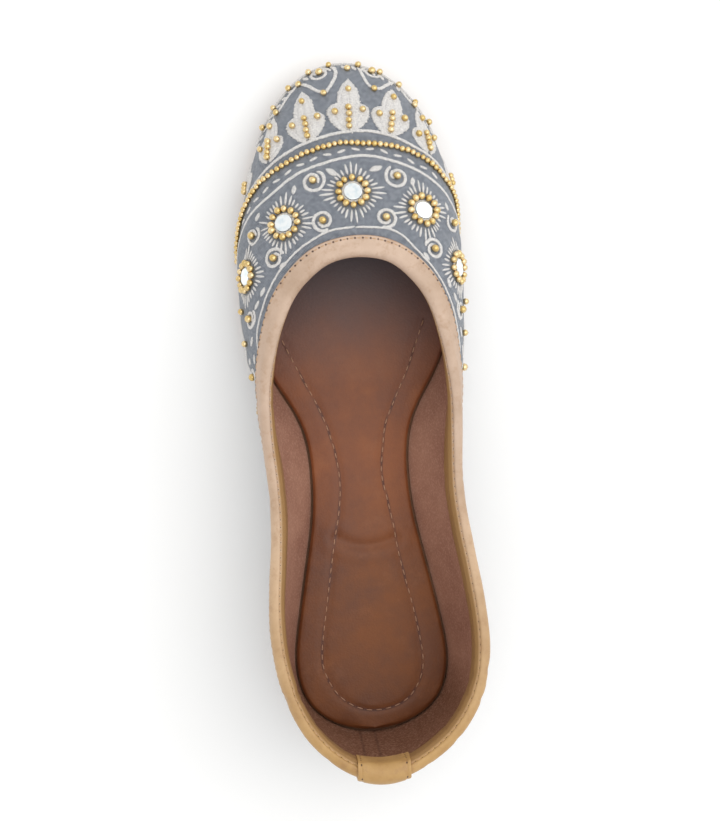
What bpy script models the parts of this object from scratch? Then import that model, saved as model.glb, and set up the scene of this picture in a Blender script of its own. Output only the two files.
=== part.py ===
"""Mojari shoe, straight-lasted, standing empty on its leather sole.

Metres, +Z up. The toe points along +Y and the origin is on the floor under the shoe's middle.
The shoe is an outsole with a low heel lift, an insole, one hollow upper, a folded leather
binding round the collar and a small leather tab folded over the back of the binding.
"""

import math
from collections import namedtuple

import bmesh
import bpy
import numpy as np
from mathutils import Vector

# Sole
SOLE_LENGTH = 0.2370
BALL_WIDTH = 0.0755
WAIST_WIDTH = 0.0389
HEEL_WIDTH = 0.0585
SOLE_THICKNESS = 0.0040
SOLE_WELT = 0.0006
SOLE_EDGE_ROUND = 0.0008
HEEL_LIFT = 0.0035
TOE_SPRING = 0.0060

# Insole
INSOLE_THICKNESS = 0.0028
INSOLE_CROWN = 0.0007
INSOLE_EDGE_ROUND = 0.0008
INSOLE_CLEARANCE = 0.0005

# Upper
THROAT_WIDTH = 0.0655
COLLAR_WIDTH = 0.0692
THROAT_HEIGHT = 0.0430
SIDE_HEIGHT = 0.0415
BACK_HEIGHT = 0.0585
BACK_LEAN = 0.0058
SWELL = 0.0030
WALL = 0.0022

# Binding and tab
BINDING_THICKNESS = 0.0012
BINDING_OUTER_LEG = 0.0046
BINDING_INNER_LEG = 0.0075
TAB_WIDTH = 0.0174
TAB_THICKNESS = 0.0010
TAB_OUTER_LEG = 0.0210
TAB_INNER_LEG = 0.0080

# Gap between pieces that touch
GAP = 0.0003

# Rounding of a strip's edges, as a share of its thickness, and the angle past which shading breaks
CORNER_SHARE = 0.35
SHARP_ANGLE = math.radians(40)

# Places along the sole, as shares of SOLE_LENGTH from the heel
ORIGIN_ALONG = 0.4835
HEEL_BREAST = 0.2350
LEAN_FRONT = 0.2350
SEAT_FRONT = 0.2800
BALL_BACK = 0.6000
BALL_FRONT = 0.7600

# Number of ribs from toe to heel on one side, and of steps up each rib
RIBS_PER_SIDE = 40
STEPS_PER_RIB = 14
STEPS_PER_FINE_RIB = 60
STEPS_ACROSS_SLAB = 5
SECTIONS_PER_TAB = 9
ROUND_STEPS = 6
FINE_PLACES = 2000

# Step along the ribs for working out directions, the distance within which points are one, and
# how many such steps the sole's other sections keep from the heel's breast
NUDGE = 0.0002
MERGE = 0.000001
BREAST_CLEARANCE = 4

# The feet of the last's ribs on the sole, a row for each pair from the toe to the back of the heel.
#   along       place of the foot, as a share of SOLE_LENGTH from the heel
#   width       named width of the sole that governs the row
#   right left  half widths of the sole, as shares of that width
#   swell       how far the rib bulges past the sole, as a multiple of SWELL
#   rise        height of that bulge's handle, as a share of the rib's height
Foot = namedtuple("Foot", "along width right left swell rise")
FEET = (
    Foot(1.000, BALL_WIDTH, 0.000, 0.000, 1.30, 0.36),
    Foot(0.978, BALL_WIDTH, 0.208, 0.198, 1.25, 0.36),
    Foot(0.908, BALL_WIDTH, 0.384, 0.364, 1.10, 0.38),
    Foot(0.830, BALL_WIDTH, 0.464, 0.452, 1.00, 0.41),
    Foot(0.745, BALL_WIDTH, 0.500, 0.502, 0.95, 0.43),
    Foot(0.662, BALL_WIDTH, 0.504, 0.514, 1.00, 0.43),
    Foot(0.590, BALL_WIDTH, 0.476, 0.484, 1.20, 0.40),
    Foot(0.524, BALL_WIDTH, 0.386, 0.400, 1.60, 0.36),
    Foot(0.464, WAIST_WIDTH, 0.545, 0.570, 2.00, 0.32),
    Foot(0.400, WAIST_WIDTH, 0.490, 0.506, 2.00, 0.32),
    Foot(0.328, WAIST_WIDTH, 0.526, 0.522, 1.90, 0.32),
    Foot(0.256, WAIST_WIDTH, 0.618, 0.598, 1.70, 0.32),
    Foot(0.180, HEEL_WIDTH, 0.474, 0.454, 1.50, 0.32),
    Foot(0.106, HEEL_WIDTH, 0.508, 0.486, 1.20, 0.32),
    Foot(0.047, HEEL_WIDTH, 0.430, 0.412, 1.00, 0.32),
    Foot(0.012, HEEL_WIDTH, 0.240, 0.236, 0.90, 0.32),
    Foot(0.000, HEEL_WIDTH, 0.000, 0.000, 0.85, 0.32),
)

# The tops of the same ribs at the cut edge of the collar, row for row.
#   along       place of the top, as a share of SOLE_LENGTH from the heel
#   opening     named width of the collar that governs the row
#   right left  half widths of the cut edge, as shares of that opening; the throat's foremost
#               point lies a little to the right, so its left half width is negative
#   height top  named height that governs the row, and the share of it that the edge stands at
#   reach       how far the rib leaves the edge outwards, as a share of its span in plan
#   drop        fall of that stretch, as a share of the rib's height
Top = namedtuple("Top", "along opening right left height top reach drop")
TOPS = (
    Top(0.712, THROAT_WIDTH, 0.019, -0.019, THROAT_HEIGHT, 1.000, 0.46, 0.30),
    Top(0.706, THROAT_WIDTH, 0.156, 0.122, THROAT_HEIGHT, 0.998, 0.46, 0.30),
    Top(0.686, THROAT_WIDTH, 0.271, 0.244, THROAT_HEIGHT, 0.992, 0.44, 0.28),
    Top(0.657, THROAT_WIDTH, 0.362, 0.343, THROAT_HEIGHT, 0.982, 0.40, 0.26),
    Top(0.617, THROAT_WIDTH, 0.429, 0.419, THROAT_HEIGHT, 0.968, 0.33, 0.24),
    Top(0.567, THROAT_WIDTH, 0.473, 0.477, SIDE_HEIGHT, 0.990, 0.22, 0.24),
    Top(0.514, THROAT_WIDTH, 0.496, 0.507, SIDE_HEIGHT, 0.980, 0.12, 0.26),
    Top(0.465, THROAT_WIDTH, 0.494, 0.507, SIDE_HEIGHT, 0.980, 0.04, 0.32),
    Top(0.419, COLLAR_WIDTH, 0.458, 0.468, SIDE_HEIGHT, 0.995, -0.02, 0.34),
    Top(0.370, COLLAR_WIDTH, 0.452, 0.454, SIDE_HEIGHT, 1.025, -0.04, 0.34),
    Top(0.310, COLLAR_WIDTH, 0.470, 0.455, SIDE_HEIGHT, 1.080, -0.04, 0.34),
    Top(0.248, COLLAR_WIDTH, 0.499, 0.474, BACK_HEIGHT, 0.820, -0.04, 0.34),
    Top(0.179, COLLAR_WIDTH, 0.524, 0.484, BACK_HEIGHT, 0.880, -0.04, 0.34),
    Top(0.111, COLLAR_WIDTH, 0.505, 0.447, BACK_HEIGHT, 0.935, -0.06, 0.34),
    Top(0.053, COLLAR_WIDTH, 0.396, 0.352, BACK_HEIGHT, 0.975, -0.06, 0.34),
    Top(0.014, COLLAR_WIDTH, 0.204, 0.190, BACK_HEIGHT, 0.995, -0.06, 0.34),
    Top(0.000, COLLAR_WIDTH, 0.000, 0.000, BACK_HEIGHT, 1.000, -0.06, 0.34),
)

MATERIALS = {
    # name: (red, green, blue), roughness
    "sole_leather": ((0.24, 0.14, 0.08), 0.70),
    "insole_leather": ((0.29, 0.10, 0.04), 0.55),
    "grey_fabric": ((0.13, 0.15, 0.18), 0.85),
    "tan_leather": ((0.60, 0.36, 0.18), 0.50),
}


def clear_scene():
    for obj in list(bpy.data.objects):
        bpy.data.objects.remove(obj, do_unlink=True)


def material(name):
    colour, roughness = MATERIALS[name]
    made = bpy.data.materials.new(name)
    made.use_nodes = True
    shader = made.node_tree.nodes["Principled BSDF"]
    shader.inputs["Base Color"].default_value = (*colour, 1.0)
    shader.inputs["Roughness"].default_value = roughness
    shader.inputs["Metallic"].default_value = 0.0
    return made


def closed_spline(knots, period, values):
    """A function for the smooth closed curve through values at knots: a periodic cubic."""
    count = len(knots)
    gaps = np.diff(np.append(knots, knots[0] + period))
    slopes = (np.roll(values, -1, axis=0) - values) / gaps[:, None]
    system = np.zeros((count, count))
    for i in range(count):
        before = gaps[i - 1]
        system[i, i - 1] += before
        system[i, i] += 2 * (before + gaps[i])
        system[i, (i + 1) % count] += gaps[i]
    bends = np.linalg.solve(system, 6 * (slopes - np.roll(slopes, 1, axis=0)))

    def at(places):
        wrapped = np.mod(np.asarray(places, float) - knots[0], period) + knots[0]
        i = np.searchsorted(knots, wrapped, side="right") - 1
        j = (i + 1) % count
        gap = gaps[i][:, None]
        right = wrapped[:, None] - knots[i][:, None]
        left = gap - right
        return (
            (bends[i] * left**3 + bends[j] * right**3) / (6 * gap)
            + (values[i] / gap - bends[i] * gap / 6) * left
            + (values[j] / gap - bends[j] * gap / 6) * right
        )

    return at


def y_of(along):
    return (along - ORIGIN_ALONG) * SOLE_LENGTH


# What a rib is drawn from: its two ends and the handles of its curve, as lengths or shares of it
Rib = namedtuple("Rib", "foot_x foot_y top_x top_y height rise bulge reach drop")


def make_rib(foot, top, side):
    """The rib of one pair of rows on one side, +1 for right and -1 for left."""
    foot_half = (foot.right if side > 0 else foot.left) * foot.width
    top_half = (top.right if side > 0 else top.left) * top.opening
    lean = BACK_LEAN * (1.0 - min(1.0, top.along / LEAN_FRONT)) ** 2
    return Rib(
        foot_x=side * foot_half,
        foot_y=y_of(foot.along),
        top_x=side * top_half,
        top_y=y_of(top.along) - lean,
        height=top.top * top.height,
        rise=foot.rise,
        bulge=foot.swell * SWELL,
        reach=top.reach,
        drop=top.drop,
    )


def make_last():
    """The last as a closed spline of ribs with the toe at place 0, and its half length."""
    right = [make_rib(foot, top, 1) for foot, top in zip(FEET, TOPS)]
    left = [make_rib(foot, top, -1) for foot, top in zip(FEET, TOPS)]
    half_widths = [(r.foot_x - l.foot_x) / 2 for r, l in zip(right, left)]
    steps = np.hypot(np.diff(half_widths), np.diff([rib.foot_y for rib in right]))
    reached = np.concatenate([[0.0], np.cumsum(steps)])
    half_length = reached[-1]
    knots = np.concatenate([reached, 2 * half_length - reached[-2:0:-1]])
    curve = closed_spline(knots, 2 * half_length, np.array(right + left[-2:0:-1]))
    return curve, half_length


LAST_CURVE, HALF_LENGTH = make_last()


def last(places):
    """The ribs at places round the last, as one Rib of arrays."""
    return Rib(*LAST_CURVE(places).T)


def foot_line(places):
    rib = last(places)
    return np.column_stack([rib.foot_x, rib.foot_y])


def top_line(places):
    rib = last(places)
    return np.column_stack([rib.top_x, rib.top_y])


def plan_normals(line, places):
    """Outward directions in plan of the foot line or the top line."""
    run = line(places + NUDGE) - line(places - NUDGE)
    normal = np.column_stack([-run[:, 1], run[:, 0]])
    return normal / np.linalg.norm(normal, axis=1)[:, None]


def tab_places():
    """Places of the ribs under the tab, spaced evenly along the cut edge at the back."""
    fine = HALF_LENGTH + np.linspace(-TAB_WIDTH, TAB_WIDTH, FINE_PLACES)
    steps = np.linalg.norm(np.diff(top_line(fine), axis=0), axis=1)
    along = np.concatenate([[0.0], np.cumsum(steps)])
    back = np.interp(HALF_LENGTH, fine, along)
    wanted = back + np.linspace(-TAB_WIDTH / 2, TAB_WIDTH / 2, SECTIONS_PER_TAB)
    return np.interp(wanted, along, fine)


def ring_places():
    """Places of all the ribs round the shoe, closer together under the tab."""
    even, spacing = np.linspace(0, 2 * HALF_LENGTH, 2 * RIBS_PER_SIDE, endpoint=False, retstep=True)
    close = tab_places()
    apart = (even < close[0] - spacing / 2) | (even > close[-1] + spacing / 2)
    return np.sort(np.append(even[apart], close))


def sheet_height(y):
    """Height of the underside of the sole's sheet, which the heel lift and the floor carry."""
    along = y / SOLE_LENGTH + ORIGIN_ALONG
    if along < SEAT_FRONT:
        return HEEL_LIFT
    if along < BALL_BACK:
        share = (BALL_BACK - along) / (BALL_BACK - SEAT_FRONT)
        return HEEL_LIFT * share**2 * (3 - 2 * share)
    if along < BALL_FRONT:
        return 0.0
    return TOE_SPRING * ((along - BALL_FRONT) / (1 - BALL_FRONT)) ** 2


def sole_top(y):
    return sheet_height(y) + SOLE_THICKNESS


def rib_grid(places, steps):
    """Points of the upper's outer face, [rib, step], from the sole up to the cut edge."""
    rib = last(places)
    foot_z = np.array([sole_top(y) + GAP for y in rib.foot_y])
    rib_height = rib.height - foot_z
    span = np.hypot(rib.top_x - rib.foot_x, rib.top_y - rib.foot_y)
    bulge = plan_normals(foot_line, places) * rib.bulge[:, None]
    reach = plan_normals(top_line, places) * (rib.reach * span)[:, None]
    foot = np.column_stack([foot_line(places), foot_z])
    top = np.column_stack([top_line(places), rib.height])
    foot_handle = foot + np.column_stack([bulge, rib.rise * rib_height])
    top_handle = top + np.column_stack([reach, -rib.drop * rib_height])
    t = np.linspace(0, 1, steps)[None, :, None]
    return (
        foot[:, None] * (1 - t) ** 3
        + 3 * foot_handle[:, None] * t * (1 - t) ** 2
        + 3 * top_handle[:, None] * t**2 * (1 - t)
        + top[:, None] * t**3
    )


def face_normals(places, steps):
    """Outward normals of the upper's outer face at the points of rib_grid."""
    around = rib_grid(places + NUDGE, steps) - rib_grid(places - NUDGE, steps)
    up = np.gradient(rib_grid(places, steps), axis=1)
    normal = np.cross(up, around)
    return normal / np.linalg.norm(normal, axis=2)[:, :, None]


def edge_sections(places, runs):
    """Section loops of a strip folded over the cut edge, one for each place along the collar.

    runs lists points (depth, offset): depth down the rib from the cut edge, negative above it,
    and offset out of the upper's outer face.
    """
    outer, inner = runs
    grid = rib_grid(places, STEPS_PER_FINE_RIB)[:, ::-1]
    normals = face_normals(places, STEPS_PER_FINE_RIB)[:, ::-1]
    loops = []
    for rib, normal in zip(grid, normals):
        steps = np.linalg.norm(np.diff(rib, axis=0), axis=1)
        depth = np.concatenate([[0.0], np.cumsum(steps)])
        edge_up = (rib[0] - rib[1]) / steps[0]
        loop = []
        for down, off in outer + inner[::-1]:
            base = np.array([np.interp(down, depth, rib[:, k]) for k in range(3)])
            facing = np.array([np.interp(down, depth, normal[:, k]) for k in range(3)])
            above = max(0.0, -down)
            loop.append(base + edge_up * above + facing / np.linalg.norm(facing) * off)
        loops.append(loop)
    return loops


def fold_runs(outer_leg, inner_leg, under, thickness):
    """Outer and inner runs, point for point, of a strip that is folded over the wall's cut edge.

    under is the clear space between the strip and the wall.
    """
    middle = -WALL / 2
    small = WALL / 2 + under
    large = small + thickness
    corner = thickness * CORNER_SHARE
    turns = [math.pi * k / ROUND_STEPS for k in range(ROUND_STEPS + 1)]
    outer = [(outer_leg, middle + large - corner), (outer_leg - corner, middle + large)]
    outer += [(-large * math.sin(a), middle + large * math.cos(a)) for a in turns]
    outer += [(inner_leg - corner, middle - large), (inner_leg, middle - large + corner)]
    inner = [(outer_leg, middle + small), (outer_leg - corner, middle + small)]
    inner += [(-small * math.sin(a), middle + small * math.cos(a)) for a in turns]
    inner += [(inner_leg - corner, middle - small), (inner_leg, middle - small)]
    return outer, inner


def tab_runs():
    """Outer and inner runs of the tab: it clears the binding, then steps down onto the upper."""
    under = 2 * GAP + BINDING_THICKNESS
    fold_end = BINDING_OUTER_LEG + GAP
    step_end = fold_end + under
    corner = TAB_THICKNESS * CORNER_SHARE
    face = GAP + TAB_THICKNESS
    outer, inner = fold_runs(fold_end, TAB_INNER_LEG, under, TAB_THICKNESS)
    outer_leg = [(TAB_OUTER_LEG, face - corner), (TAB_OUTER_LEG - corner, face)]
    outer_leg += [(step_end + corner, face), (fold_end + corner, under + TAB_THICKNESS)]
    inner_leg = [(TAB_OUTER_LEG, GAP), (TAB_OUTER_LEG - corner, GAP), (step_end, GAP), (fold_end, under)]
    return outer_leg + outer[2:], inner_leg + inner[2:]


def loft(name, loops, ends, collection, finish):
    """A solid through section loops with the same number of corners.

    ends is "ring" where the last loop meets the first, "point" where the loops already shrink to
    an edge at each end, and "flat" where the end loops, each an outer run and an inner run back,
    are capped between their runs.
    """
    mesh = bpy.data.meshes.new(name)
    shape = bmesh.new()
    rings = [[shape.verts.new(Vector(p)) for p in loop] for loop in loops]
    corners = len(rings[0])
    follow = rings[1:] + (rings[:1] if ends == "ring" else [])
    for here, there in zip(rings, follow):
        for i in range(corners):
            j = (i + 1) % corners
            shape.faces.new((here[i], here[j], there[j], there[i]))
    if ends == "flat":
        for end in (rings[0], rings[-1]):
            for i in range(corners // 2 - 1):
                shape.faces.new((end[i], end[i + 1], end[-2 - i], end[-1 - i]))
    if ends == "point":
        bmesh.ops.remove_doubles(shape, verts=shape.verts, dist=MERGE)
    bmesh.ops.recalc_face_normals(shape, faces=shape.faces)
    shape.to_mesh(mesh)
    shape.free()
    mesh.shade_smooth()
    mesh.set_sharp_from_angle(angle=SHARP_ANGLE)
    return place(name, mesh, collection, finish)


def place(name, mesh, collection, finish):
    obj = bpy.data.objects.new(name, mesh)
    obj.data.materials.append(material(finish))
    collection.objects.link(obj)
    return obj


def slab_sections(places, grow, bottom_of, top_of, crown, edge):
    """Cross sections of a layer of the sole, from toe to heel, each the same closed loop."""
    sides = []
    for side in (places, -places):
        points, normals = foot_line(side), plan_normals(foot_line, side)
        sides.append((points + normals * grow, points + normals * (grow - edge)))
    shares = np.linspace(0, 1, STEPS_ACROSS_SLAB)
    loops = []
    for right, right_in, left, left_in in zip(*sides[0], *sides[1]):
        across = [right_in * (1 - share) + left_in * share for share in shares]
        bulge = crown * (1 - (2 * shares - 1) ** 2)
        loop = [(*p, top_of(p[1]) + rise) for p, rise in zip(across, bulge)]
        loop += [(*left, top_of(left[1]) - edge), (*left, bottom_of(left[1]) + edge)]
        loop += [(*p, bottom_of(p[1])) for p in reversed(across)]
        loop += [(*right, bottom_of(right[1]) + edge), (*right, top_of(right[1]) - edge)]
        loops.append(loop)
    return loops


def build_outsole(collection):
    """Leather sole with a lift under the heel, which ends forwards in a step."""
    even = np.linspace(0, HALF_LENGTH, RIBS_PER_SIDE + 1)
    fine = np.linspace(0, HALF_LENGTH, FINE_PLACES)
    breast_y = y_of(HEEL_BREAST)
    breast = float(np.interp(-breast_y, -last(fine).foot_y, fine))
    kept = even[np.abs(even - breast) > BREAST_CLEARANCE * NUDGE]
    places = np.sort(np.append(kept, [breast - NUDGE, breast + NUDGE]))

    def bottom(y):
        return 0.0 if y < breast_y else sheet_height(y)

    loops = slab_sections(places, SOLE_WELT, bottom, sole_top, 0.0, SOLE_EDGE_ROUND)
    return loft("outsole", loops, "point", collection, "sole_leather")


def build_insole(collection):
    places = np.linspace(0, HALF_LENGTH, RIBS_PER_SIDE + 1)

    def bottom(y):
        return sole_top(y) + GAP

    def top(y):
        return bottom(y) + INSOLE_THICKNESS

    inset = -(WALL + INSOLE_CLEARANCE)
    loops = slab_sections(places, inset, bottom, top, INSOLE_CROWN, INSOLE_EDGE_ROUND)
    return loft("insole", loops, "point", collection, "insole_leather")


def build_upper(collection):
    """One hollow shell: a closed ring of ribs, thickened inwards."""
    grid = rib_grid(ring_places(), STEPS_PER_RIB)
    mesh = bpy.data.meshes.new("upper")
    shape = bmesh.new()
    ribs = [[shape.verts.new(Vector(p)) for p in rib] for rib in grid]
    for here, there in zip(ribs, ribs[1:] + ribs[:1]):
        for k in range(STEPS_PER_RIB - 1):
            shape.faces.new((here[k], here[k + 1], there[k + 1], there[k]))
    shape.to_mesh(mesh)
    shape.free()
    mesh.shade_smooth()
    obj = place("upper", mesh, collection, "grey_fabric")
    wall = obj.modifiers.new("wall", "SOLIDIFY")
    wall.thickness = WALL
    wall.offset = -1.0
    wall.use_even_offset = True
    return obj


def build_binding(collection):
    runs = fold_runs(BINDING_OUTER_LEG, BINDING_INNER_LEG, GAP, BINDING_THICKNESS)
    loops = edge_sections(ring_places(), runs)
    return loft("collar_binding", loops, "ring", collection, "tan_leather")


def build_tab(collection):
    loops = edge_sections(tab_places(), tab_runs())
    return loft("heel_tab", loops, "flat", collection, "tan_leather")


def main():
    clear_scene()
    collection = bpy.data.collections.new("mojari_shoe")
    bpy.context.scene.collection.children.link(collection)
    build_outsole(collection)
    build_insole(collection)
    build_upper(collection)
    build_binding(collection)
    build_tab(collection)


main()
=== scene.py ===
"""Dresses one mojari shoe: a grey upper with thread, beads and mirrors, a tan binding, a leather sole."""

import math
import random

import bmesh
import bpy
import numpy as np
from mathutils import Matrix, Vector
from mathutils.bvhtree import BVHTree


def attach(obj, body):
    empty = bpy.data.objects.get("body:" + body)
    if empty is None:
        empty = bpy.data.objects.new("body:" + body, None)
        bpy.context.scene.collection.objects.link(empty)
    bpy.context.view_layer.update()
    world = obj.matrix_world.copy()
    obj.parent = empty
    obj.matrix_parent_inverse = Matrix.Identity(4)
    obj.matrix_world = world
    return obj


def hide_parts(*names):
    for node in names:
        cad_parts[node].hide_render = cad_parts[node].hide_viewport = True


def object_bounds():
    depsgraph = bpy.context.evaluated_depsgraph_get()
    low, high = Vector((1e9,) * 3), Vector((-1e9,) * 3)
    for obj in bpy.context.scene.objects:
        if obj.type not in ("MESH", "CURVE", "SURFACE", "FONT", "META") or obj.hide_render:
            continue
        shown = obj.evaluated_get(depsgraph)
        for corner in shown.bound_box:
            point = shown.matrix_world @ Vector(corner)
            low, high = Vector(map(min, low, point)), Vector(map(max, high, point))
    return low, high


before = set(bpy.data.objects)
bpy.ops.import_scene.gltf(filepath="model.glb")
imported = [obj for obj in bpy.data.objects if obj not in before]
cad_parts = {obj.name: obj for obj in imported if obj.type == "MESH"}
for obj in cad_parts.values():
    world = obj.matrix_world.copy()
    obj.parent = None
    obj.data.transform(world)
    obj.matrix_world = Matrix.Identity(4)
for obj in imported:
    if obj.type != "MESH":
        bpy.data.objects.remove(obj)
packed_low, packed_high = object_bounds()

# The view
# The photograph looks down on the shoe from a little to its left, with the toe at the top of the picture.
# The camera keeps that angle, and is turned until the one shoe stands in the middle of the picture.
EYE = Vector((-0.0385, -0.0110, 0.7000))
PICTURE_UP = Vector((0.0514, 0.9987, 0.0))
LENS = 86.0


def placed(name, data):
    """A new object in the scene."""
    made = bpy.data.objects.new(name, data)
    bpy.context.collection.objects.link(made)
    return made


shoe_middle = (packed_low + packed_high) / 2
backward = (EYE - shoe_middle).normalized()
rightward = PICTURE_UP.cross(backward).normalized()
camera_axes = Matrix((rightward, backward.cross(rightward), backward)).transposed()
camera = placed("camera", bpy.data.cameras.new("camera"))
camera.data.lens = LENS
camera.data.clip_start = 0.05
camera.matrix_world = Matrix.Translation(EYE) @ camera_axes.to_4x4()
bpy.context.scene.camera = camera
bpy.context.scene.view_settings.view_transform = "Standard"


# The floor and the light
# A plain pale floor under an even white sky, with one wide soft lamp high above the shoe's right side.
# The lamp lifts the right wall and the throat's right edge, as the studio's window does in the photograph.
FLOOR_REACH = 12.0
SKY_STRENGTH = 0.94
LAMP_PLACE = Vector((0.40, 0.16, 0.82))
LAMP_AIM = Vector((0.0, 0.0, 0.03))
LAMP_SIZE = (1.0, 1.4)
LAMP_POWER = 4.2


def add(tree, kind, settings=None, **fields):
    """A shader node with its fields set, and its inputs given a value or joined to another node's output."""
    made = tree.nodes.new("ShaderNode" + kind)
    for field, value in fields.items():
        setattr(made, field, value)
    for socket, value in (settings or {}).items():
        if isinstance(value, bpy.types.NodeSocket):
            tree.links.new(value, made.inputs[socket])
        else:
            made.inputs[socket].default_value = value
    return made


def new_finish(name, **settings):
    """A material, its node tree and its Principled shader. Settings are constants on the shader's sockets."""
    finish = bpy.data.materials.new(name)
    finish.use_nodes = True
    shader = finish.node_tree.nodes["Principled BSDF"]
    for socket, value in settings.items():
        shader.inputs[socket.replace("_", " ")].default_value = value
    return finish, finish.node_tree, shader


def paint(red, green, blue):
    """A screen colour from 0 to 255 as the linear colour that a shader takes."""
    linear = [c / 255 / 12.92 if c < 10.3 else ((c / 255 + 0.055) / 1.055) ** 2.4 for c in (red, green, blue)]
    return (*linear, 1.0)


def mesh_of(shape, name):
    """A mesh in the shape of a bmesh, which is freed."""
    mesh = bpy.data.meshes.new(name)
    shape.to_mesh(mesh)
    shape.free()
    return mesh


def coat(piece, *finishes):
    """Gives a piece its finishes, in place of any that it has."""
    piece.data.materials.clear()
    for finish in finishes:
        piece.data.materials.append(finish)


floor_shape = bmesh.new()
bmesh.ops.create_grid(floor_shape, x_segments=1, y_segments=1, size=FLOOR_REACH)
floor = placed("floor", mesh_of(floor_shape, "floor"))
floor_finish, _, floor_shader = new_finish("floor_paper", Roughness=0.9)
floor_shader.inputs["Base Color"].default_value = paint(250, 250, 249)
coat(floor, floor_finish)

sky = bpy.data.worlds.new("sky")
sky.use_nodes = True
sky.node_tree.nodes["Background"].inputs["Color"].default_value = (1.0, 1.0, 1.0, 1.0)
sky.node_tree.nodes["Background"].inputs["Strength"].default_value = SKY_STRENGTH
bpy.context.scene.world = sky
lamp = placed("window", bpy.data.lights.new("window", "AREA"))
lamp.data.shape = "RECTANGLE"
lamp.data.size, lamp.data.size_y = LAMP_SIZE
lamp.data.energy = LAMP_POWER
lamp.location = LAMP_PLACE
lamp.rotation_euler = (LAMP_PLACE - LAMP_AIM).to_track_quat("Z", "Y").to_euler()


# The outsole
# One layer of undyed leather with a low heel lift and a burnished rim, its tread scuffed by the floor.
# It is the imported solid's own form, merged and rounded.
def new_group(name, takes, gives):
    """An empty node group with its sockets, and its input and output nodes."""
    tree = bpy.data.node_groups.new(name, "ShaderNodeTree")
    for socket, kind in takes.items():
        tree.interface.new_socket(socket, in_out="INPUT", socket_type="NodeSocket" + kind)
    for socket in gives:
        tree.interface.new_socket(socket, in_out="OUTPUT", socket_type="NodeSocketFloat")
    return tree, tree.nodes.new("NodeGroupInput"), tree.nodes.new("NodeGroupOutput")


def maths(tree, operation, *values):
    """The output of a Math node. Its values are numbers or other nodes' outputs, in the node's order."""
    return add(tree, "Math", dict(enumerate(values)), operation=operation).outputs[0]


def vectors(tree, operation, *values):
    """The output of a Vector Math node that gives a vector. Its values are in the node's order."""
    return add(tree, "VectorMath", dict(enumerate(values)), operation=operation).outputs[0]


def scaled(tree, vector, scale):
    """A vector times a number, each a value or another node's output."""
    return add(tree, "VectorMath", {0: vector, "Scale": scale}, operation="SCALE").outputs[0]


def ranged(tree, value, low, high, to_low=0.0, to_high=1.0):
    """A value's place between low and high, moved to the span between to_low and to_high and held there."""
    span = {"From Min": low, "From Max": high, "To Min": to_low, "To Max": to_high}
    return add(tree, "MapRange", {"Value": value, **span}).outputs["Result"]


def noise(tree, place, scale, detail, roughness=0.5):
    """Soft noise from 0 to 1. Its scale is the number of cells to a unit of the place."""
    fields = {"Vector": place, "Scale": scale, "Detail": detail, "Roughness": roughness}
    return add(tree, "TexNoise", fields).outputs["Fac"]


def mixed(tree, factor, first, second):
    """The colour between two colours, each a value or another node's output."""
    return add(tree, "Mix", {0: factor, 6: first, 7: second}, data_type="RGBA").outputs[2]


def bumped(tree, shader, height, strength, distance):
    """Relief from a height, so far in metres."""
    bump = add(tree, "Bump", {"Height": height, "Strength": strength, "Distance": distance})
    tree.links.new(bump.outputs["Normal"], shader.inputs["Normal"])


def make_leather_grain():
    """Leather's pebbles, its pores and the slow mottling of its dye, with the pebbles' size in metres."""
    takes = {"Place": "Vector", "Pebble": "Float"}
    tree, taken, given = new_group("leather_grain", takes, ("Height", "Mottle"))
    where = taken.outputs["Place"]
    place = scaled(tree, where, maths(tree, "DIVIDE", 1.0, taken.outputs["Pebble"]))
    bend = add(tree, "TexNoise", {"Vector": place, "Scale": 0.7, "Detail": 2.0})
    bent = vectors(tree, "ADD", place, bend.outputs["Color"])
    cells = {"Vector": bent, "Scale": 1.0, "Smoothness": 0.4}
    pebble = add(tree, "TexVoronoi", cells, feature="SMOOTH_F1")
    pore = noise(tree, place, 2.7, 3.0, 0.6)
    raised = maths(tree, "SUBTRACT", 1.0, pebble.outputs["Distance"])
    tree.links.new(maths(tree, "MULTIPLY_ADD", pore, 0.45, raised), given.inputs["Height"])
    mottle = ranged(tree, noise(tree, where, 42.0, 5.0, 0.62), 0.32, 0.68)
    tree.links.new(mottle, given.inputs["Mottle"])
    return tree


def grained(tree, pebble):
    """A piece's own coordinates, and leather grain laid on them with pebbles of that size in metres."""
    where = add(tree, "TexCoord")
    placing = {"Place": where.outputs["Object"], "Pebble": pebble}
    return where, add(tree, "Group", placing, node_tree=leather_grain)


def dress(node, name, corner, levels):
    """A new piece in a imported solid's form, merged, turned to quads and rounded, with its corners kept."""
    shell = bmesh.new()
    shell.from_mesh(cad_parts[node].data)
    bmesh.ops.remove_doubles(shell, verts=shell.verts, dist=1e-5)
    bmesh.ops.join_triangles(
        shell,
        faces=shell.faces,
        angle_face_threshold=math.radians(40),
        angle_shape_threshold=math.radians(60),
    )
    crease = shell.edges.layers.float.new("crease_edge")
    for edge in shell.edges:
        if edge.calc_face_angle(0.0) > math.radians(corner):
            edge[crease] = 0.9
    piece = placed(name, mesh_of(shell, name))
    rounding = piece.modifiers.new("rounding", "SUBSURF")
    rounding.levels = levels
    rounding.render_levels = levels
    seen = piece.evaluated_get(bpy.context.evaluated_depsgraph_get())
    piece.data = bpy.data.meshes.new_from_object(seen)
    piece.modifiers.clear()
    piece.data.name = name
    piece.data.shade_smooth()
    piece.data.set_sharp_from_angle(angle=math.radians(42))
    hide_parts(node)
    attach(piece, "root")
    return piece


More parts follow.
